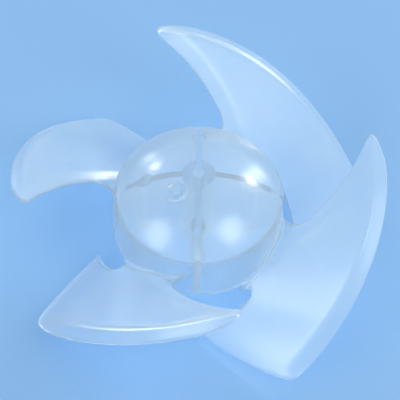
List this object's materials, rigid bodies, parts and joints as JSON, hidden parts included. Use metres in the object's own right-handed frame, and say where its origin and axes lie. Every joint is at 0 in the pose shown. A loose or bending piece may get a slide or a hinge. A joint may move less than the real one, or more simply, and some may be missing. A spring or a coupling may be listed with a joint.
{
  "type": "axial fan impeller",
  "caption": "Axial fan impeller for a small refrigeration fan motor: domed hub, forward-swept twisted blades with turned-down rims, and a push-on shaft bore.",
  "frame": {"origin": "on the shaft axis, in the plane of the hub's open rim, at the mouth of the shaft bore", "axes": "+Z out of the domed nose of the hub; the leading horns of the four blades lie near +X, +Y, -X and -Y"},
  "size_m": [0.11, 0.11, 0.0459],
  "materials": {
    "frosted_polypropylene": "satin, milky and a little see-through"
  },
  "bodies": {
    "root": {"impeller": "frosted_polypropylene"}
  },
  "joints": []
}
